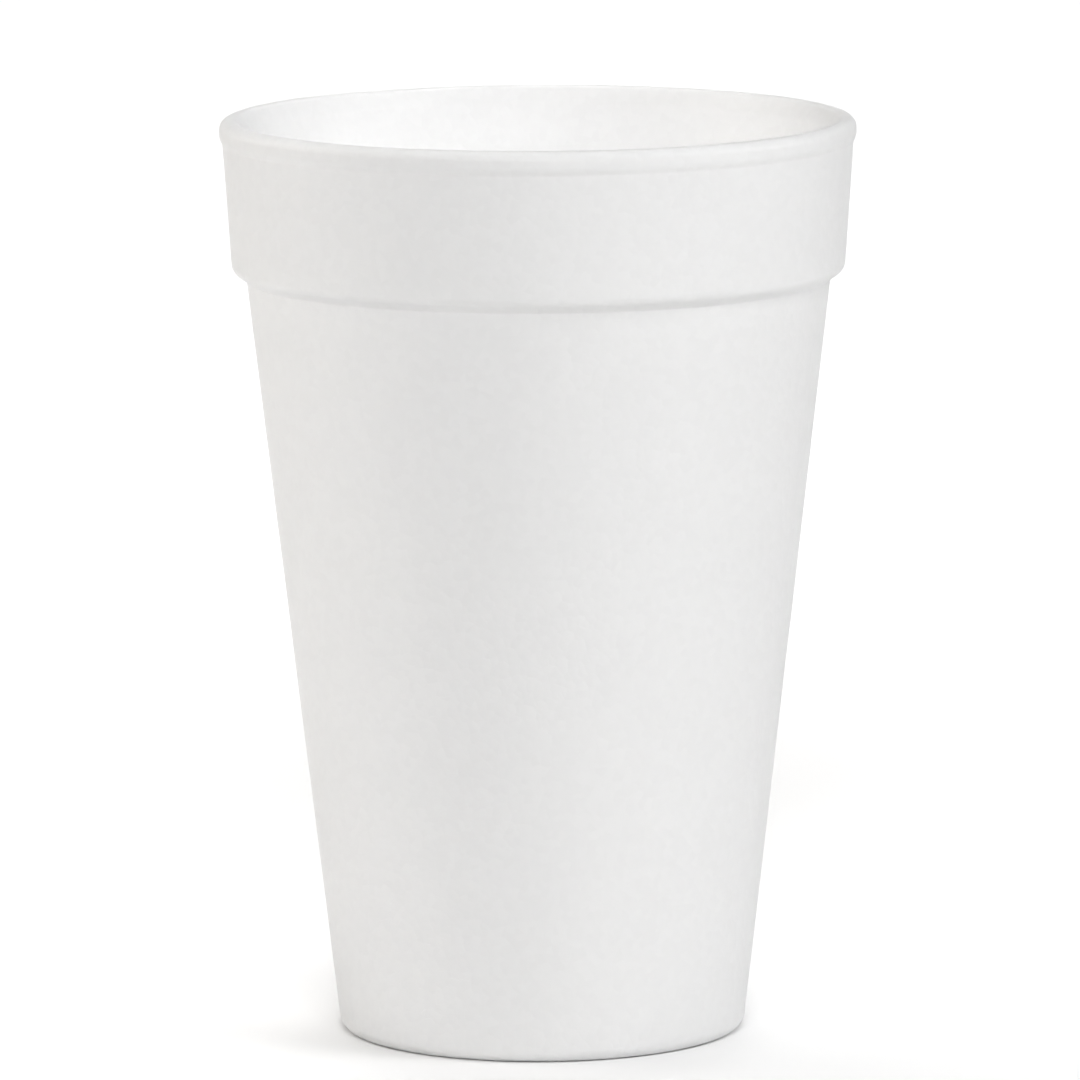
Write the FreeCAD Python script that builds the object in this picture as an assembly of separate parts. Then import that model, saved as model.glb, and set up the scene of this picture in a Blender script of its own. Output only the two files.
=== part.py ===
import FreeCAD, Part
import math
import os

# Moulded foam cup, one solid of revolution about Z, in millimetres.
# The foot stands on z = 0 and the mouth opens upwards.

# ---------------------------------------------------------------- sizes
# The whole cup
cup_height = 133.4        # table to the crest of the lip
rim_diameter = 92.1       # across the lip bead
base_diameter = 58.8      # where the line of the outer wall meets the table
wall_thickness = 2.3      # of the tapered wall, measured level
floor_thickness = 3.0

# Rounded lip, a soft bead that stands out from the collar
lip_height = 3.5          # crest down to the neck below the bead
lip_underside = 1.05      # height of the bead's sloping underside
lip_overhang = 0.45       # bead beyond the collar
lip_outer_round = 1.5
lip_inner_round = 1.3
bead_round = 2.0
neck_round = 1.5

# Collar, the thicker band that the fingers hold and a lid grips
collar_height = 23.3      # crest of the lip down to the crease under the collar
collar_draft = 3.8        # degrees from upright
collar_step = 2.0         # collar beyond the wall, at the crease
underside_slope = 34.0    # degrees from level, falling towards the wall
shoulder_round = 2.0
crease_round = 0.4

# Foot ring round a shallow recess
base_edge_round = 2.1
foot_width = 5.5          # from the line of the outer wall to the recess
recess_depth = 2.2
recess_draft = 20.0       # degrees from upright
foot_edge_round = 0.8
recess_round = 0.8

# Round mark that the bead filler leaves in the middle of the underside
fill_mark_diameter = 8.0
fill_mark_height = 0.3
fill_mark_round = 0.15

# Inner ledge that the foot of the next cup in a stack stands on
nest_gap = 1.2            # from this lip up to the collar of the cup above
ledge_width = 1.6
ledge_slope = 30.0        # degrees from level, falling towards the middle
ledge_round = 0.9
floor_round = 3.0

# --------------------------------------------------------- worked-out sizes
rim_radius = rim_diameter / 2
base_radius = base_diameter / 2
neck_z = cup_height - lip_height
crease_z = cup_height - collar_height
floor_z = recess_depth + floor_thickness
ledge_z = collar_height + nest_gap
fill_mark_radius = fill_mark_diameter / 2


def slope(degrees):
    """Rise over run of a line at this angle."""
    return math.tan(math.radians(degrees))


def collar_radius(z):
    """Radius of the collar's drafted face at this height."""
    return rim_radius - lip_overhang - (neck_z - z) * slope(collar_draft)


crease_radius = collar_radius(crease_z) - collar_step
wall_taper = (crease_radius - base_radius) / crease_z


def outer_radius(z):
    """Radius of the line of the outer wall at this height."""
    return base_radius + z * wall_taper


def inner_radius(z):
    """Radius of the line of the inner wall at this height."""
    return outer_radius(z) - wall_thickness


def rounded_edges(corners):
    """Edges of the closed outline through (radius, height, round) corners, in the XZ plane."""
    starts, ends, arcs = [], [], []
    for index, (radius, height, rounding) in enumerate(corners):
        before = corners[index - 1]
        after = corners[(index + 1) % len(corners)]
        corner = FreeCAD.Vector(radius, 0, height)
        back = (FreeCAD.Vector(before[0], 0, before[1]) - corner).normalize()
        ahead = (FreeCAD.Vector(after[0], 0, after[1]) - corner).normalize()
        half_angle = back.getAngle(ahead) / 2
        setback = rounding / math.tan(half_angle)
        starts.append(corner + back * setback)
        ends.append(corner + ahead * setback)
        middle = (back + ahead).normalize()
        reach = rounding / math.sin(half_angle) - rounding
        arcs.append(corner + middle * reach if rounding else None)
    edges = []
    for index, start in enumerate(starts):
        if arcs[index]:
            edges.append(Part.Arc(start, arcs[index], ends[index]).toShape())
        following = starts[(index + 1) % len(starts)]
        edges.append(Part.LineSegment(ends[index], following).toShape())
    return edges


def underside():
    """From the axis out to the edge of the foot: fill mark, recess and foot ring."""
    recess_edge = base_radius - foot_width
    return [
        (0, recess_depth - fill_mark_height, 0),
        (fill_mark_radius, recess_depth - fill_mark_height, fill_mark_round),
        (fill_mark_radius, recess_depth, 0),
        (recess_edge - recess_depth * slope(recess_draft), recess_depth, recess_round),
        (recess_edge, 0, foot_edge_round),
    ]


def outside():
    """From the table up to the crest: tapered wall, crease, shoulder, collar and lip bead."""
    underside_rise = collar_step * slope(underside_slope)
    shoulder_z = crease_z + underside_rise / (1 - slope(underside_slope) * slope(collar_draft))
    return [
        (base_radius, 0, base_edge_round),
        (crease_radius, crease_z, crease_round),
        (collar_radius(shoulder_z), shoulder_z, shoulder_round),
        (collar_radius(neck_z), neck_z, neck_round),
        (rim_radius, neck_z + lip_underside, bead_round),
        (rim_radius, cup_height, lip_outer_round),
    ]


def inside():
    """From the crest down to the axis: straight wall, stacking ledge and floor."""
    ledge_top = ledge_z + ledge_width * slope(ledge_slope)
    return [
        (inner_radius(cup_height), cup_height, lip_inner_round),
        (inner_radius(ledge_top), ledge_top, ledge_round),
        (inner_radius(ledge_z) - ledge_width, ledge_z, ledge_round),
        (inner_radius(floor_z) - ledge_width, floor_z, floor_round),
        (0, floor_z, 0),
    ]


def make_cup():
    """Turn the outline about Z."""
    outline = Part.Wire(rounded_edges(underside() + outside() + inside()))
    return Part.Face(outline).revolve(FreeCAD.Vector(0, 0, 0), FreeCAD.Vector(0, 0, 1), 360)


cup = make_cup()
os.makedirs("parts", exist_ok=True)
cup.exportStep("parts/cup.step")

print("volume of foam, cubic cm:", round(cup.Volume / 1000, 1))
print("valid:", cup.isValid(), " solids:", len(cup.Solids))
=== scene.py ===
import math

import bpy
from mathutils import Matrix, Vector


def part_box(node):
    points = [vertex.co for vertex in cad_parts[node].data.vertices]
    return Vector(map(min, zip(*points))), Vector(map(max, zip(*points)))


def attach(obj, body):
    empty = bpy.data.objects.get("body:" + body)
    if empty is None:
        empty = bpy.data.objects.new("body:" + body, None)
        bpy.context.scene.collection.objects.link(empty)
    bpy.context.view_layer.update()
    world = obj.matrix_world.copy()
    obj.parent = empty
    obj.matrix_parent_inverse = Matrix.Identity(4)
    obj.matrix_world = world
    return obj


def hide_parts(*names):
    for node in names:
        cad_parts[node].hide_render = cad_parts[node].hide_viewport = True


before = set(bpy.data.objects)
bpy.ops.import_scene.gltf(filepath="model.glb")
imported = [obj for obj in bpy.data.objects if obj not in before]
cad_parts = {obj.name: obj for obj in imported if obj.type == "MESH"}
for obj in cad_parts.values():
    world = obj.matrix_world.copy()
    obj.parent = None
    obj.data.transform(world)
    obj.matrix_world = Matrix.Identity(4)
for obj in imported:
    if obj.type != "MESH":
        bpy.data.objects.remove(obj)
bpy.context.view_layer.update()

MM = 0.001
cup_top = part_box("cup")[1][2]

# ------------------------------------------------------------------ sizes, in millimetres
# The height comes from the solid, and the rest are the maker's own named sizes.
cup_height = cup_top / MM
rim_radius = 92.1 / 2
base_radius = 58.8 / 2
wall_thickness = 2.3
floor_thickness = 3.0

lip_height = 3.5            # crest down to the neck below the bead
lip_underside = 0.85        # height of the bead's sloping underside
lip_overhang = 0.45         # bead beyond the collar
lip_outer_round = 1.5
lip_inner_round = 0.9
mouth_flare = 0.9           # the inner edge of the lip leans outwards by this much
mouth_flare_height = 2.4
mouth_flare_round = 3.0
bead_round = 2.0
neck_round = 0.8

collar_height = 23.3        # crest down to the crease under the collar
collar_draft = 3.8          # degrees from upright
collar_step = 2.0
underside_slope = 34.0      # degrees from level
shoulder_round = 2.0
crease_round = 0.2

base_edge_round = 2.1
foot_width = 5.5
recess_depth = 2.2
recess_draft = 20.0         # degrees from upright
foot_edge_round = 0.8
recess_round = 0.8

fill_mark_radius = 4.0      # the round mark of the bead filler, under the floor
fill_mark_height = 0.3
fill_mark_round = 0.15

nest_gap = 1.2              # between the collar of one stacked cup and the lip of the next
ledge_width = 1.6
ledge_slope = 30.0          # degrees from level
ledge_round = 0.9
floor_round = 3.0

# ------------------------------------------------------------------ mesh, in millimetres
segments_around = 320
points_per_corner = 7
ring_spacing = 2.2          # on the straight runs of the outline
merge_distance = 0.001      # closes the tube at its two poles

# ------------------------------------------------------------------ finish, lengths in millimetres
bead_size = 1.25            # one expanded bead, as fused into the skin
bead_groove = 0.028         # depth of the groove where two beads meet
bead_level = 0.35           # how much higher one bead may sit than the next, in groove depths
wall_wander = 0.12          # how far the moulded wall strays from true
wander_patch = 16.0         # size of one such hollow or swelling
wander_seed = 3.0
foam_glow = 0.6             # how deep light spreads in the foam
bead_sheen = (0.42, 0.56)   # roughness of the smoothest bead and of the dullest
bead_tones = ("#F0F0F0", "#F2F2F2")
paper_tone = "#F9F9F9"

# ------------------------------------------------------------------ studio, in metres and degrees
floor_half = 5.0
room_light = 0.03
white_lamp = "#FFFFFF"
warm_lamp = "#FFFBF5"
waist = (0, 0, 0.07)        # the middle of the cup, which most lamps aim at
camera_place = (0, -1.5, 0.2957)
camera_down = 8.496
camera_roll = -0.3
camera_lens = 348.1         # millimetres, on a sensor 36 wide
camera_sensor = 36


def rise(degrees):
    """Rise for each unit of run."""
    return math.tan(math.radians(degrees))


def link_or_set(tree, socket, value):
    if isinstance(value, bpy.types.NodeSocket):
        tree.links.new(value, socket)
    else:
        socket.default_value = value


def add(tree, kind, inputs=None, **settings):
    """Add one node with its settings, and set or link each of its inputs."""
    node = tree.nodes.new(kind)
    for name, value in settings.items():
        setattr(node, name, value)
    for key, value in (inputs or {}).items():
        link_or_set(tree, node.inputs[key], value)
    return node


def linear(hex_colour):
    """Linear RGBA of an sRGB hex colour."""
    channels = [int(hex_colour[i:i + 2], 16) / 255 for i in (1, 3, 5)]
    return [c / 12.92 if c <= 0.04045 else ((c + 0.055) / 1.055) ** 2.4 for c in channels] + [1.0]


# ------------------------------------------------------------------ the outline
def outline():
    """Corners (radius, height, round) from the middle of the underside, up the outside, over the
    lip and down the inside to the middle of the floor."""
    neck_z = cup_height - lip_height
    crease_z = cup_height - collar_height
    flare_z = cup_height - mouth_flare_height
    floor_z = recess_depth + floor_thickness
    ledge_z = collar_height + nest_gap
    ledge_top = ledge_z + ledge_width * rise(ledge_slope)

    def collar(z):
        return rim_radius - lip_overhang - (neck_z - z) * rise(collar_draft)

    crease_radius = collar(crease_z) - collar_step
    taper = (crease_radius - base_radius) / crease_z

    def inner(z):
        return base_radius + z * taper - wall_thickness

    underside_rise = collar_step * rise(underside_slope)
    shoulder_z = crease_z + underside_rise / (1 - rise(underside_slope) * rise(collar_draft))
    recess_edge = base_radius - foot_width
    underside = [
        (0, recess_depth - fill_mark_height, 0),
        (fill_mark_radius, recess_depth - fill_mark_height, fill_mark_round),
        (fill_mark_radius, recess_depth, 0),
        (recess_edge - recess_depth * rise(recess_draft), recess_depth, recess_round),
        (recess_edge, 0, foot_edge_round),
    ]
    outside = [
        (base_radius, 0, base_edge_round),
        (crease_radius, crease_z, crease_round),
        (collar(shoulder_z), shoulder_z, shoulder_round),
        (collar(neck_z), neck_z, neck_round),
        (rim_radius, neck_z + lip_underside, bead_round),
        (rim_radius, cup_height, lip_outer_round),
    ]
    inside = [
        (inner(cup_height) + mouth_flare, cup_height, lip_inner_round),
        (inner(flare_z), flare_z, mouth_flare_round),
        (inner(ledge_top), ledge_top, ledge_round),
        (inner(ledge_z) - ledge_width, ledge_z, ledge_round),
        (inner(floor_z) - ledge_width, floor_z, floor_round),
        (0, floor_z, 0),
    ]
    return underside + outside + inside


def outline_mesh():
    """The outline as a chain of edges in the XZ plane, with each corner's round as an attribute."""
    corners = outline()
    mesh = bpy.data.meshes.new("cup_outline")
    points = [(radius * MM, 0, height * MM) for radius, height, _ in corners]
    mesh.from_pydata(points, [(i, i + 1) for i in range(len(points) - 1)], [])
    rounds = mesh.attributes.new("round", "FLOAT", "POINT")
    rounds.data.foreach_set("value", [rounding * MM for _, _, rounding in corners])
    return mesh


# ------------------------------------------------------------------ the turned moulding
def turned_moulding_tree():
    """Rounds the corners of an outline, turns it about Z and lets the wall stray a little."""
    tree = bpy.data.node_groups.new("turned_moulding", "GeometryNodeTree")
    tree.is_modifier = True
    for name, kind, default in (
        ("Outline", "NodeSocketGeometry", None),
        ("Segments Around", "NodeSocketInt", segments_around),
        ("Points Per Corner", "NodeSocketInt", points_per_corner),
        ("Ring Spacing", "NodeSocketFloat", ring_spacing * MM),
        ("Wander", "NodeSocketFloat", wall_wander * MM),
        ("Wander Patch", "NodeSocketFloat", wander_patch * MM),
        ("Seed", "NodeSocketFloat", wander_seed),
        ("Material", "NodeSocketMaterial", None),
    ):
        socket = tree.interface.new_socket(name, in_out="INPUT", socket_type=kind)
        if default is not None:
            socket.default_value = default
    tree.interface.new_socket("Cup", in_out="OUTPUT", socket_type="NodeSocketGeometry")
    given = add(tree, "NodeGroupInput").outputs

    # The rounded outline, with rings close enough together on its straight runs
    chain = add(tree, "GeometryNodeMeshToCurve", {"Mesh": given["Outline"]}).outputs[0]
    rounding = add(tree, "GeometryNodeInputNamedAttribute", {"Name": "round"}).outputs[0]
    rounded = add(tree, "GeometryNodeFilletCurve", {
        "Curve": chain, "Count": given["Points Per Corner"], "Radius": rounding,
    }, mode="POLY").outputs[0]
    place = add(tree, "GeometryNodeInputPosition").outputs[0]
    index = add(tree, "GeometryNodeInputIndex").outputs[0]
    following = add(tree, "ShaderNodeMath", {0: index, 1: 1.0}, operation="ADD").outputs[0]
    next_place = add(tree, "GeometryNodeFieldAtIndex", {
        "Index": following, "Value": place,
    }, data_type="FLOAT_VECTOR").outputs[0]
    run = add(tree, "ShaderNodeVectorMath", {
        0: place, 1: next_place,
    }, operation="DISTANCE").outputs["Value"]
    cuts = add(tree, "ShaderNodeMath", {
        0: run, 1: given["Ring Spacing"],
    }, operation="DIVIDE").outputs[0]
    profile = add(tree, "GeometryNodeSubdivideCurve", {"Curve": rounded, "Cuts": cuts}).outputs[0]
    count = add(tree, "GeometryNodeAttributeDomainSize", {
        0: profile,
    }, component="CURVE").outputs["Point Count"]
    last = add(tree, "ShaderNodeMath", {0: count, 1: 1.0}, operation="SUBTRACT").outputs[0]

    # A tube with one ring for each point of the outline, pulled onto it
    tube = add(tree, "GeometryNodeMeshCylinder", {
        "Vertices": given["Segments Around"], "Side Segments": last, "Radius": 1.0, "Depth": 1.0,
    }, fill_type="NONE").outputs["Mesh"]
    on_tube = add(tree, "ShaderNodeSeparateXYZ", {0: place}).outputs
    share = add(tree, "ShaderNodeMath", {0: on_tube["Z"], 1: 0.5}, operation="ADD").outputs[0]
    ring = add(tree, "ShaderNodeMath", {0: share, 1: last}, operation="MULTIPLY").outputs[0]
    ring_whole = add(tree, "ShaderNodeMath", {0: ring}, operation="ROUND").outputs[0]
    on_profile = add(tree, "GeometryNodeSampleIndex", {
        "Geometry": profile, "Value": place, "Index": ring_whole,
    }, data_type="FLOAT_VECTOR").outputs[0]
    target = add(tree, "ShaderNodeSeparateXYZ", {0: on_profile}).outputs
    turned_x, turned_y = (
        add(tree, "ShaderNodeMath", {
            0: on_tube[axis], 1: target["X"],
        }, operation="MULTIPLY").outputs[0]
        for axis in ("X", "Y")
    )
    turned = add(tree, "ShaderNodeCombineXYZ", {
        "X": turned_x, "Y": turned_y, "Z": target["Z"],
    }).outputs[0]
    moulding = add(tree, "GeometryNodeSetPosition", {
        "Geometry": tube, "Position": turned,
    }).outputs[0]
    closed = add(tree, "GeometryNodeMergeByDistance", {
        "Geometry": moulding, "Distance": merge_distance * MM,
    }).outputs[0]

    # The skin strays inwards from true by up to Wander, never out of the mould
    frequency = add(tree, "ShaderNodeMath", {
        0: 1.0, 1: given["Wander Patch"],
    }, operation="DIVIDE").outputs[0]
    noise = add(tree, "ShaderNodeTexNoise", {
        "Vector": place, "W": given["Seed"], "Scale": frequency, "Detail": 2.0, "Roughness": 0.4,
    }, noise_dimensions="4D").outputs[0]
    depth = add(tree, "ShaderNodeMath", {
        0: noise, 1: given["Wander"],
    }, operation="MULTIPLY").outputs[0]
    inward = add(tree, "ShaderNodeMath", {0: depth, 1: -1.0}, operation="MULTIPLY").outputs[0]
    normal = add(tree, "GeometryNodeInputNormal").outputs[0]
    stray = add(tree, "ShaderNodeVectorMath", {
        0: normal, "Scale": inward,
    }, operation="SCALE").outputs[0]
    strayed = add(tree, "GeometryNodeSetPosition", {
        "Geometry": closed, "Offset": stray,
    }).outputs[0]

    smooth = add(tree, "GeometryNodeSetShadeSmooth", {"Geometry": strayed}).outputs[0]
    real = add(tree, "GeometryNodeRealizeInstances", {"Geometry": smooth}).outputs[0]
    finished = add(tree, "GeometryNodeSetMaterial", {
        "Geometry": real, "Material": given["Material"],
    }).outputs[0]
    add(tree, "NodeGroupOutput", {"Cup": finished})
    return tree


def make_cup(material):
    """The whole cup as one plain mesh, from the outline and the turned moulding tree."""
    maker = bpy.data.objects.new("cup_maker", outline_mesh())
    bpy.context.collection.objects.link(maker)
    modifier = maker.modifiers.new("turned_moulding", "NODES")
    modifier.node_group = turned_moulding_tree()
    items = modifier.node_group.interface.items_tree
    sockets = {item.name: item.identifier for item in items if item.in_out == "INPUT"}
    modifier[sockets["Material"]] = material
    depsgraph = bpy.context.evaluated_depsgraph_get()
    mesh = bpy.data.meshes.new_from_object(maker.evaluated_get(depsgraph))
    mesh.materials.pop(index=0)     # the empty slot that the tube starts with
    bpy.data.objects.remove(maker)
    mesh.name = "foam_cup"
    cup = bpy.data.objects.new("foam_cup", mesh)
    bpy.context.collection.objects.link(cup)
    return cup


# ------------------------------------------------------------------ finishes
def moulded_bead_foam():
    """Expanded polystyrene with a steam-moulded skin.

    Light sinks into the foam and spreads, so shadows are soft and edges glow. The skin is a close
    patchwork of flattened beads with fine grooves between them, and has a faint satin sheen.
    """
    material = bpy.data.materials.new("moulded_bead_foam")
    material.use_nodes = True
    tree = material.node_tree
    tree.nodes.clear()
    where = add(tree, "ShaderNodeTexCoord").outputs["Object"]
    bead = add(tree, "ShaderNodeTexVoronoi", {
        "Vector": where, "Scale": 1 / (bead_size * MM),
    }).outputs
    own = add(tree, "ShaderNodeSeparateColor", {0: bead["Color"]}).outputs

    # Height: pressed bead tops that fall away to a groove, each bead a touch higher or lower
    level = add(tree, "ShaderNodeMath", {
        0: own["Red"], 1: bead_level,
    }, operation="MULTIPLY").outputs[0]
    height = add(tree, "ShaderNodeMath", {
        0: level, 1: bead["Distance"],
    }, operation="SUBTRACT").outputs[0]
    bump = add(tree, "ShaderNodeBump", {
        "Distance": bead_groove * MM, "Height": height,
    }).outputs[0]

    # Tone and sheen: each bead a shade apart from the next
    lower_tone, upper_tone = (linear(tone) for tone in bead_tones)
    tone = add(tree, "ShaderNodeMix", {
        "Factor": own["Green"], "A": lower_tone, "B": upper_tone,
    }, data_type="RGBA").outputs["Result"]
    smoothest, dullest = bead_sheen
    sheen = add(tree, "ShaderNodeMapRange", {
        "Value": own["Blue"], "To Min": smoothest, "To Max": dullest,
    }).outputs[0]
    surface = add(tree, "ShaderNodeBsdfPrincipled", {
        "Base Color": tone,
        "Roughness": sheen,
        "IOR": 1.45,
        "Subsurface Weight": 1.0,
        "Subsurface Radius": (1.0, 0.99, 0.98),
        "Subsurface Scale": foam_glow * MM,
        "Normal": bump,
    }, subsurface_method="BURLEY").outputs[0]
    add(tree, "ShaderNodeOutputMaterial", {"Surface": surface})
    return material


def seamless_paper():
    """Matt white background paper: flat and even, with no sheen."""
    material = bpy.data.materials.new("seamless_paper")
    material.use_nodes = True
    tree = material.node_tree
    tree.nodes.clear()
    surface = add(tree, "ShaderNodeBsdfDiffuse", {
        "Color": linear(paper_tone), "Roughness": 0.5,
    }).outputs[0]
    add(tree, "ShaderNodeOutputMaterial", {"Surface": surface})
    return material


# ------------------------------------------------------------------ studio
def make_floor(material):
    mesh = bpy.data.meshes.new("floor")
    corners = [(x * floor_half, y * floor_half, 0) for x, y in ((-1, -1), (1, -1), (1, 1), (-1, 1))]
    mesh.from_pydata(corners, [], [(0, 1, 2, 3)])
    mesh.materials.append(material)
    floor = bpy.data.objects.new("floor", mesh)
    bpy.context.collection.objects.link(floor)
    return floor


def softbox(name, place, aim, size, power, spread=180, colour=white_lamp):
    """A square area light at a place, turned to its aim. A narrow spread acts as a grid does."""
    place, aim = Vector(place), Vector(aim)
    data = bpy.data.lights.new(name, "AREA")
    data.size = size
    data.energy = power
    data.spread = math.radians(spread)
    data.color = linear(colour)[:3]
    light = bpy.data.objects.new(name, data)
    turn = (place - aim).to_track_quat("Z", "Y").to_matrix().to_4x4()
    light.matrix_world = Matrix.Translation(place) @ turn
    light.visible_camera = False
    bpy.context.collection.objects.link(light)
    return light


def floor_lamp(name, x, y, height, size, power, spread):
    """A lamp that hangs over the floor and points straight down."""
    return softbox(name, (x, y, height), (x, y, 0), size, power, spread)


def around(azimuth, distance, height):
    """A place around the cup. Azimuth 0 is in front, 90 to the right."""
    turn = math.radians(azimuth)
    return (math.sin(turn) * distance, -math.cos(turn) * distance, height)


def studio_light():
    """Soft light from the front and right, a weaker warm fill on the left, and a white floor."""
    world = bpy.data.worlds.new("studio")
    world.use_nodes = True
    background = world.node_tree.nodes["Background"]
    background.inputs["Color"].default_value = linear(white_lamp)
    background.inputs["Strength"].default_value = room_light
    bpy.context.scene.world = world
    softbox("front_high", around(0, 1.2, 0.7), waist, size=0.6, power=7.4)
    softbox("key_right_high", around(60, 1.0, 1.0), waist, size=0.6, power=4.6)
    softbox("key_right", around(75, 1.1, 0.5), waist, size=0.5, power=3.0)
    softbox("fill_left", around(-97, 0.45, 0.3), (0, 0, 0.1), size=0.25, power=0.85,
            colour=warm_lamp)
    softbox("fill_left_far", around(-62, 1.1, 0.5), waist, size=0.5, power=0.9, colour=warm_lamp)
    # These light the floor, behind the cup and around its foot
    floor_lamp("backdrop_far", 0, 1.3, 1.3, size=1.6, power=10.0, spread=90)
    floor_lamp("backdrop_near", 0, 0.45, 0.8, size=0.6, power=0.5, spread=60)
    floor_lamp("left_of_foot", -0.15, 0.05, 0.8, size=0.15, power=0.08, spread=25)
    floor_lamp("right_of_foot", 0.17, 0.06, 0.8, size=0.15, power=0.09, spread=25)
    floor_lamp("front_of_foot", 0, -0.17, 0.8, size=0.12, power=0.02, spread=25)
    # A weak lamp low inside the cup brightens its depth, as light that foam lets through does
    softbox("inside_glow", (0, 0, 0.015), (0, 0, 1), size=0.032, power=0.025)


def make_camera():
    data = bpy.data.cameras.new("camera")
    data.sensor_width = camera_sensor
    data.lens = camera_lens
    camera = bpy.data.objects.new("camera", data)
    tilt = Matrix.Rotation(math.radians(90 - camera_down), 4, "X")
    roll = Matrix.Rotation(math.radians(camera_roll), 4, "Z")
    camera.matrix_world = Matrix.Translation(camera_place) @ tilt @ roll
    bpy.context.collection.objects.link(camera)
    bpy.context.scene.camera = camera


cup = make_cup(moulded_bead_foam())
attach(cup, "root")
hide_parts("cup")
make_floor(seamless_paper())
studio_light()
make_camera()
bpy.context.scene.view_settings.view_transform = "Standard"
